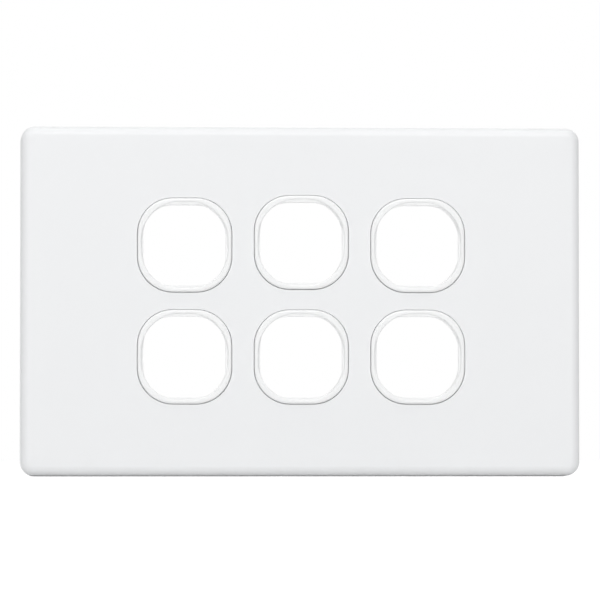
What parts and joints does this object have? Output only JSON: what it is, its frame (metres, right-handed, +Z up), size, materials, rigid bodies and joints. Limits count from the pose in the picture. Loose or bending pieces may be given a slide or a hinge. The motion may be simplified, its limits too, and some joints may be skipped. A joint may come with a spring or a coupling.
{
  "type": "grid switch plate",
  "caption": "Screwless white switch plate: a clip-on cover over a moulded grid whose raised collars take clip-in mechanisms from behind, held by screws under the cover.",
  "frame": {"origin": "the middle of the plate on the wall's surface, which the rear rims of the grid and the cover lie on", "axes": "+X to the right as seen from the room, +Y into the wall, +Z up"},
  "size_m": [0.117, 0.0254, 0.073],
  "materials": {
    "cover_plastic": "white, fine satin gloss",
    "grid_plastic": "white, satin",
    "screw_steel": "bright zinc plate"
  },
  "bodies": {
    "root": {"front_cover": "cover_plastic", "grid_plate": "grid_plastic", "mounting_screw_left": "screw_steel", "mounting_screw_right": "screw_steel"}
  },
  "joints": []
}
